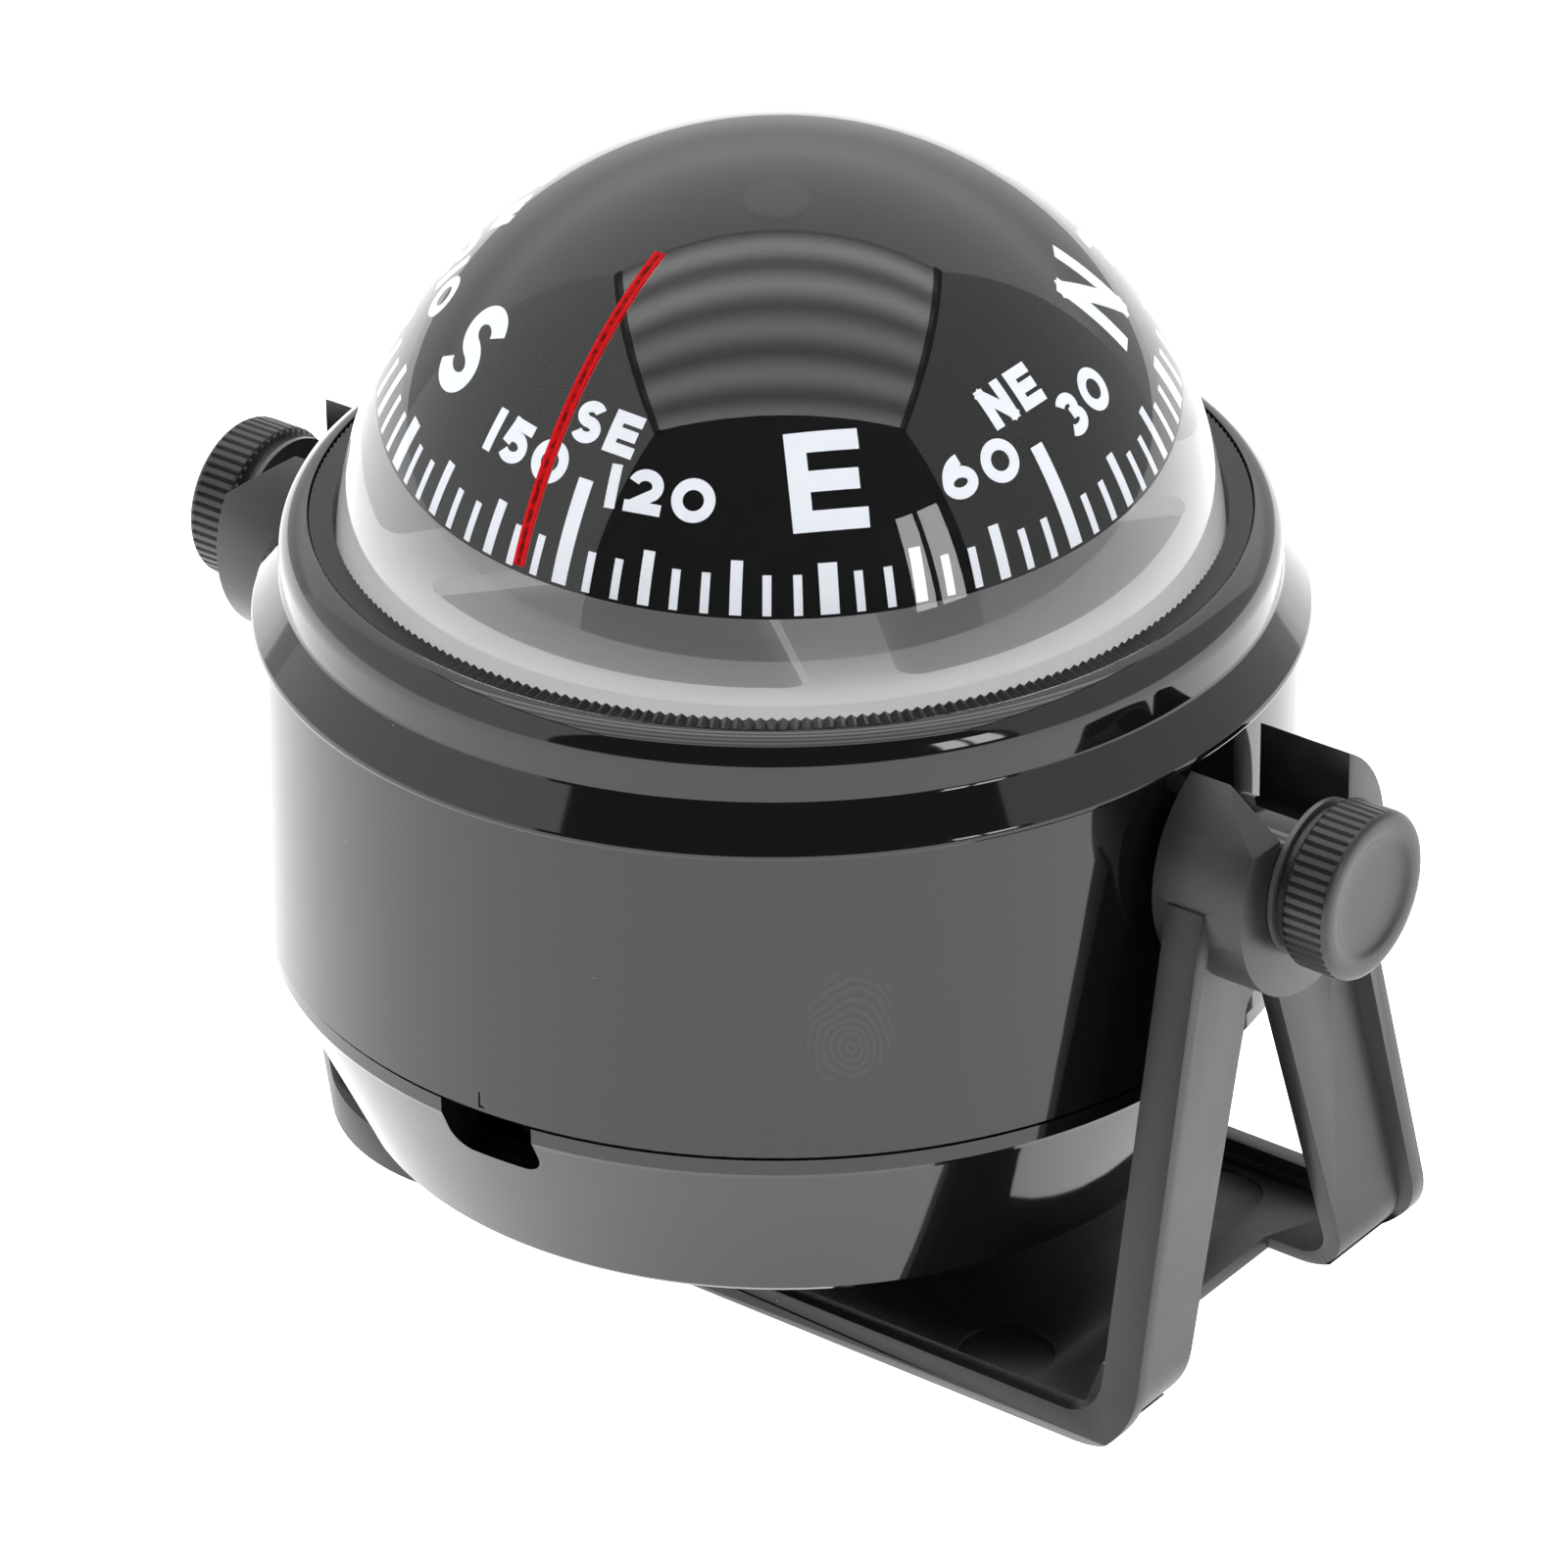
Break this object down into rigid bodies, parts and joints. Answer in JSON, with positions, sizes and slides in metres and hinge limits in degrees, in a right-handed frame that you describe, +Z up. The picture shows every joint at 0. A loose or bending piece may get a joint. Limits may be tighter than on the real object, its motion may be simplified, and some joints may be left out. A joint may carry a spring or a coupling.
{
  "type": "dashboard compass",
  "caption": "Liquid-filled ball compass with a domed card, held between the slotted hubs of a U-shaped bracket by thumb screws, for a dashboard.",
  "frame": {"origin": "centre of the bracket's flat underside, straight below the middle of the tilt axis", "axes": "+X along the tilt axis to the right thumb screw, +Y away from the driver, +Z up"},
  "size_m": [0.1088, 0.0808, 0.0881],
  "materials": {
    "bracket_plastic": "fine moulded texture, black",
    "body_plastic": "polished black",
    "ring_plastic": "black",
    "dome_plastic": "clear",
    "line_red": "red",
    "card_black": "black with white print",
    "frosted_plastic": "light grey, frosted",
    "inner_plastic": "black",
    "seal_rubber": "black",
    "post_brass": "turned",
    "bright_steel": "bright",
    "magnet_metal": "plated",
    "jewel_stone": "polished"
  },
  "bodies": {
    "bracket": {"bracket": "bracket_plastic"},
    "compass_body": {"upper_body_shell": "body_plastic", "lower_body_shell": "body_plastic", "bezel_ring": "body_plastic", "toothed_retaining_ring": "ring_plastic", "dome_gasket": "seal_rubber", "dome_lens": "dome_plastic", "lubber_line": "line_red", "capsule_bowl": "frosted_plastic", "window_floor": "frosted_plastic", "pivot_post": "post_brass", "pivot_needle": "bright_steel", "expansion_diaphragm": "seal_rubber", "diaphragm_ring": "inner_plastic", "filler_plug": "post_brass", "body_screws": "bright_steel", "thread_inserts": "post_brass", "compensator_cradle": "inner_plastic"},
    "card": {"compass_card": "card_black", "card_hub": "card_black", "card_jewel": "jewel_stone", "card_plate": "inner_plastic", "card_magnets": "magnet_metal"},
    "right_clamp": {"right_washer": "ring_plastic"},
    "right_thumb_screw": {"right_knob": "bracket_plastic", "right_stud": "bright_steel"},
    "left_clamp": {"left_washer": "ring_plastic"},
    "left_thumb_screw": {"left_knob": "bracket_plastic", "left_stud": "bright_steel"},
    "ns_compensator": {"ns_shaft": "post_brass", "ns_magnet": "magnet_metal"},
    "ew_compensator": {"ew_shaft": "post_brass", "ew_magnet": "magnet_metal"}
  },
  "joints": [
    {"name": "body_tilt", "type": "hinge", "parent": "bracket", "child": "compass_body", "pos_m": [0, 0, 0.04246], "axis": [1, 0, 0], "range_deg": [-12, 12]},
    {"name": "card_spin", "type": "hinge", "parent": "compass_body", "child": "card", "pos_m": [0, 0, 0.0749], "axis": [0, 0, 1], "continuous": true},
    {"name": "right_clamp_travel", "type": "slide", "parent": "compass_body", "child": "right_clamp", "axis": [1, 0, 0], "range_m": [0, 0.0007]},
    {"name": "right_screw_turn", "type": "hinge", "parent": "right_clamp", "child": "right_thumb_screw", "pos_m": [0.052, 0, 0.04246], "axis": [1, 0, 0], "range_deg": [0, 360]},
    {"name": "left_clamp_travel", "type": "slide", "parent": "compass_body", "child": "left_clamp", "axis": [-1, 0, 0], "range_m": [0, 0.0007]},
    {"name": "left_screw_turn", "type": "hinge", "parent": "left_clamp", "child": "left_thumb_screw", "pos_m": [-0.052, 0, 0.04246], "axis": [-1, 0, 0], "range_deg": [0, 360]},
    {"name": "ns_compensator_turn", "type": "hinge", "parent": "compass_body", "child": "ns_compensator", "pos_m": [0.0022, 0, 0.0222], "axis": [0, 1, 0], "continuous": true},
    {"name": "ew_compensator_turn", "type": "hinge", "parent": "compass_body", "child": "ew_compensator", "pos_m": [0, 0, 0.0166], "axis": [1, 0, 0], "continuous": true}
  ],
  "couplings": [
    {"joint": "right_screw_turn", "follows": "right_clamp_travel", "rad_per_m": 8975.9},
    {"joint": "left_screw_turn", "follows": "left_clamp_travel", "rad_per_m": 8975.9}
  ]
}
